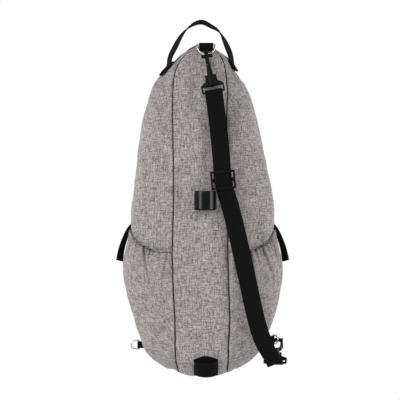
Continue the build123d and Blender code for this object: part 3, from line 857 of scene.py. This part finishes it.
# Below the height BEND the strap curves in towards the lower hook, on one arc.
plan = curve_through(STRAP_LINE, 170)
inward = STRAP_END_Y - STRAP_Y
turn_radius = ((BEND - 30) ** 2 + inward**2) / (2 * inward)
depth = np.where(plan[:, 1] > BEND, STRAP_Y,
                 STRAP_Y + turn_radius - np.sqrt(np.maximum(turn_radius**2 - (BEND - plan[:, 1]) ** 2, 0)))
strap_path = metres(np.stack([plan[:, 0], depth, plan[:, 1]], -1))
along_strap = np.gradient(strap_path, axis=0)
along_strap /= np.linalg.norm(along_strap, axis=1, keepdims=True)
strap_side = np.cross(along_strap, (0, -1, 0))
strap_side /= np.linalg.norm(strap_side, axis=1, keepdims=True)
near_end = smoothstep((np.arange(170) - 148) / 21)[:, None]
end_run = lower_bar_run if lower_bar_run @ strap_side[-1] > 0 else -lower_bar_run
strap_side = strap_side * (1 - near_end) + end_run * near_end
# The webbing bunches a little on the lower frame.
bunch = 1 - 0.1 * smoothstep((np.arange(170) - 152) / 17)
strap_section = band_section(STRAP_WIDTH, STRAP_THICK, 14)
strap = sweep("strap_band", strap_path, strap_side, strap_section, narrow=bunch)
dress(strap, "webbing", "strap", ["strap_webbing"])

back_plan = curve_through(STRAP_LINE[:5] + [(44.6, 422)], 60)
back_path = metres(np.stack([back_plan[:, 0], np.full(60, RETURN_Y), back_plan[:, 1]], -1))
run_down = np.gradient(back_path, axis=0)
back_layer = sweep("strap_return_band", back_path, np.cross(run_down, (0, -1, 0)), strap_section)
dress(back_layer, "webbing", "strap", ["strap_return"])
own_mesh(back_layer)


def strap_fold(name, fold, run, along, ends, narrow=1.0):
    """Webbing round a frame's bar, open towards the strap."""
    middle = bar_middle(fold)
    radius = 0.0041
    turns = np.radians(np.linspace(-100, 100, 26))
    back = np.cross(run, along)
    arc_points = middle + radius * (np.cos(turns)[:, None] * -along + np.sin(turns)[:, None] * back)
    tail = np.linspace(0.12, 1, 8)[:, None]
    path = np.concatenate([(arc_points[0] + tail * (ends[0] - arc_points[0]))[::-1], arc_points,
                           arc_points[-1] + tail * (ends[1] - arc_points[-1])])
    dress(sweep(name, path, run, strap_section, narrow=narrow), "webbing", "strap", [fold])


top_back = np.cross(top_bar_run, top_along)
top_ends = [strap_path[0], back_path[0]]
if (top_ends[0] - bar_middle("strap_top_fold")) @ top_back > 0:
    top_ends.reverse()
strap_fold("strap_top_turn", "strap_top_fold", top_bar_run, top_along, top_ends)
lower_back = np.cross(lower_bar_run, lower_along)
lower_end = strap_path[-1]
lower_ends = [lower_end, lower_end + (lower_end - strap_path[-8]) * -0.6 + np.array([0, 0.004, 0.0])]
if (lower_ends[0] - bar_middle("strap_lower_fold")) @ lower_back > 0:
    lower_ends.reverse()
strap_fold("strap_lower_turn", "strap_lower_fold", lower_bar_run, lower_along, lower_ends, narrow=0.9)

for start in (4, 12):
    place, run = strap_path[start], strap_side[start]
    line = place + np.linspace(-0.016, 0.016, 20)[:, None] * run + np.array([0, -STRAP_THICK / 2, 0])
    stitch = beads(f"strap_stitch_{start}", line, (0, -1, 0), 0.0031, (0.0024, 0.0006, 0.0006))
    dress(stitch, "thread", "strap")

# Carrying handle: it twists a little on its way over, and its ends are sewn on the strap side.
SEWN_Y = -7
HANDLE_LINE = [
    (-76, 676), (-73.5, 686), (-71.5, 698), (-64, 716), (-55, 734), (-45, 751), (-26, 769.5), (0, 778),
    (18, 769.5), (34, 760), (46, 742.5), (54, 725), (60.5, 707), (63.5, 694), (66, 684), (70, 676),
]
handle_plan = curve_through(HANDLE_LINE, 150)
share = np.linspace(0, 1, 150)
toward = SEWN_Y * (1 - smoothstep(share / 0.25) * smoothstep((1 - share) / 0.25))
handle_path = metres(np.stack([handle_plan[:, 0], toward, handle_plan[:, 1]], -1))
handle_run = np.gradient(handle_path, axis=0)
handle_run /= np.linalg.norm(handle_run, axis=1, keepdims=True)
handle_up = np.cross(handle_run, (0, 1, 0))
twist_places = [0, 0.08, 0.2, 0.28, 0.38, 0.5, 0.58, 0.68, 0.8, 0.92, 1]
twist_angles = [18, 24, 27, 20, 3, -14, -12, 4, 27, 24, 16]
twist = np.radians(spline(twist_places, np.array(twist_angles, float)[:, None])(share)[:, 0])[:, None]
handle_side = np.array([0, 1, 0]) * np.cos(twist) + handle_up * np.sin(twist)
handle = sweep("handle_band", handle_path, handle_side, band_section(0.025, 0.003, 12))
dress(handle, "webbing", replaced=["handle_webbing"])
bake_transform(handle)

for side, sign, high, low in (("left", -1, 688, 660), ("right", 1, 690, 669)):
    t = t_at(np.linspace(high, low, 26))
    across_mm = np.linspace(-12.5, 12.5, 14)[None, :] + SEWN_Y
    angle = np.arcsin(np.clip(across_mm / bag_profile(t)[:, None, 2], -1, 1))
    angle = angle if sign > 0 else np.pi - angle
    ts = np.repeat(t[:, None], 14, 1)
    face, out = bag_surface(ts, angle), bag_normal(ts, angle)
    patch = shell(f"handle_patch_{side}_band", face + out * 0.0034, face + out * 0.0002)
    dress(patch, "webbing", "bag", [f"handle_patch_{side}"], leans=True)
    top = face + out * 0.0035
    corners = [(4, 2), (4, 11), (22, 11), (22, 2), (4, 2), (22, 11)]
    runs = [np.linspace(top[a], top[b], 12, endpoint=False) for a, b in zip(corners, corners[1:])]
    line = np.concatenate(runs)
    stitch = beads(f"handle_patch_{side}_stitch", line, out[12, 7], 0.003, (0.0023, 0.0007, 0.0007))
    dress(stitch, "thread", "bag", leans=True)

# Tabs at the ends of the zipper.
TAB_LINE = [(-151, 337), (-160, 326), (-171, 303), (-179, 277), (-183, 253)]
for side, sign in (("left", -1), ("right", 1)):
    tab_plan = curve_through(TAB_LINE, 50) * np.array([-sign, 1])
    tab_path = metres(np.stack([tab_plan[:, 0], np.linspace(22, 7, 50), tab_plan[:, 1]], -1))
    turn = np.radians(np.linspace(18, 46, 50))[:, None] * -sign
    out = np.cross(np.gradient(tab_path, axis=0), (0, 1, 0))
    out /= np.linalg.norm(out, axis=1, keepdims=True)
    tab_side = np.array([0, 1, 0]) * np.cos(turn) + out * np.sin(turn)
    tab = sweep(f"{side}_zip_tab_band", tab_path, tab_side, band_section(0.020, 0.0028, 10))
    dress(tab, "webbing", "bag", [f"{side}_zip_tab"], leans=True)



def loop_band(name, node_name, look, middle, up, radius, bulge, depth, height, thick):
    """Half-round band with rounded edges, standing off the back."""
    turns = np.linspace(np.pi + 0.12, -0.12, 60)
    up = unit(up)
    inward = np.cross(up, (1, 0, 0))
    path = middle + radius * np.cos(turns)[:, None] * np.array([1, 0, 0])
    path = path - (depth + bulge * np.sin(turns))[:, None] * inward + up * height / 2
    made = sweep(name, path, up, band_section(height, thick, 14))
    dress(made, look, "bag", [node_name])


def loop_backing(middle_x, half_width, foot, rise, crown):
    """Webbing that backs the bottom loop: it lies on the bag, with an arched upper edge."""
    x = np.linspace(middle_x - half_width, middle_x + half_width, 30)
    arch = rise + crown * (1 - ((x - middle_x) / half_width) ** 2)
    t = t_at(foot + (arch - foot)[None, :] * np.linspace(0, 1, 24)[:, None])
    angle = -np.arccos(np.clip(x / bag_profile(t)[..., 1], -0.96, 0.96))
    face, out = bag_surface(t, angle), bag_normal(t, angle)
    dress(shell("bottom_loop_backing", face + out * 0.0046, face + out * 0.001), "webbing", "bag")


# The moulded loop in the middle of the back, and the webbing one at the bottom.
loop_band("middle_loop_band", "middle_loop", "gloss", middle=metres((5.5, -77, 365)), up=(0, 0, 1),
          radius=0.0222, bulge=0.0222, depth=0.0037, height=0.0415, thick=0.0028)
loop_band("bottom_loop_band", "bottom_loop", "webbing", middle=metres((7.5, -48, 12)), up=(0, -0.37, 0.93),
          radius=0.0252, bulge=0.019, depth=0.001, height=0.0345, thick=0.0024)
loop_backing(middle_x=7.5, half_width=25, foot=9, rise=43, crown=8)

# Folded webbing that holds the rings, and the moulded hardware.
for name in ("top_webbing_loop", "lower_left_tab", "lower_right_tab"):
    dress(softened(name, 0.0005, 5), "folded_webbing", "bag")
hardware = {
    "top_hook": "top_hook", "top_gate": "top_gate", "lower_hook": "lower_hook", "lower_gate": "lower_gate",
    "top_swivel_frame": "strap", "lower_swivel_frame": "strap", "strap_adjuster": "adjuster",
}
for name, body in hardware.items():
    dress(softened(name, 0.0005, 4), "plastic", body)

# Parts whose CAD shape is already right only get a better material.
kept = {
    "top_ring": "ring", "lower_left_ring": "ring", "lower_right_ring": "ring",
    "top_gate_pin": "pin", "lower_gate_pin": "pin", "base_board": "plastic",
}
for name, look in kept.items():
    nodes[name].data.materials.clear()
    nodes[name].data.materials.append(looks[look][0])


# Stage ---------------------------------------------------------------------------------------------

AMBIENT = 0.3
VIEW_WIDTH, VIEW_DISTANCE = 0.88, 3.2


def floor_disc():
    """Wide pale floor under the hanging bag."""
    turns = np.arange(96) * 2 * np.pi / 96
    rings = [np.stack([r * np.cos(turns), r * np.sin(turns), np.full(96, -1.25)], -1) for r in (0.4, 1.2, 2.7)]
    points = np.concatenate(rings)
    faces = [list(range(96))]
    for k in (0, 96):
        faces += [[k + i, k + (i + 1) % 96, k + 96 + (i + 1) % 96, k + 96 + i] for i in range(96)]
    floor = make_object("floor", points, faces, points[:, :2])
    made, tree, shader = material("pale_floor", Roughness=0.9)
    where = node(tree, "ShaderNodeUVMap", uv_map="UVMap")
    cloud = streaks(tree, where, (3, 3, 3))
    pale = ramp(tree, cloud, [(0.3, (0.86, 0.86, 0.86)), (0.7, (0.9, 0.9, 0.9))])
    tree.links.new(pale, shader.inputs["Base Color"])
    floor.data.materials.append(made)


def softbox(name, place, target, size, power):
    """Large soft light aimed at a point."""
    lamp = bpy.data.lights.new(name, "AREA")
    lamp.shape, lamp.size, lamp.size_y, lamp.energy = "RECTANGLE", size[0], size[1], power
    made = bpy.data.objects.new(name, lamp)
    bpy.context.scene.collection.objects.link(made)
    made.location = place
    made.rotation_euler = (Vector(target) - Vector(place)).to_track_quat("-Z", "Y").to_euler()


floor_disc()
middle = (0, 0, -0.39)
softbox("key", (-2.3, -1.8, 0.5), middle, (1.3, 2.2), 61)
softbox("fill", (2.6, -1.0, 0.1), middle, (1.2, 2.2), 43)
softbox("front", (-0.5, -3.3, 1.5), middle, (2.2, 1.2), 28)
softbox("rim_left", (-1.8, 1.6, -0.1), middle, (0.9, 1.8), 30)
softbox("rim_right", (1.8, 1.6, -0.1), middle, (0.9, 1.8), 30)
world = bpy.data.worlds.new("studio")
bpy.context.scene.world = world
world.use_nodes = True
# The backdrop shows white, and lights the bag at less than half that strength.
sky = world.node_tree
seen = node(sky, "ShaderNodeLightPath")
strength = math_node(sky, "ADD", math_node(sky, "MULTIPLY", seen, 1 - AMBIENT), AMBIENT)
sky.nodes["Background"].inputs[0].default_value = (1, 1, 1, 1)
sky.links.new(strength, sky.nodes["Background"].inputs[1])
bpy.context.scene.view_settings.view_transform = "Standard"

lens = bpy.data.cameras.new("camera")
lens.sensor_width = 36
lens.lens = lens.sensor_width * VIEW_DISTANCE / VIEW_WIDTH
camera = bpy.data.objects.new("camera", lens)
bpy.context.scene.collection.objects.link(camera)
camera.location = (-0.0055, -VIEW_DISTANCE, -0.389)
camera.rotation_euler = (math.pi / 2, 0, 0)
bpy.context.scene.camera = camera
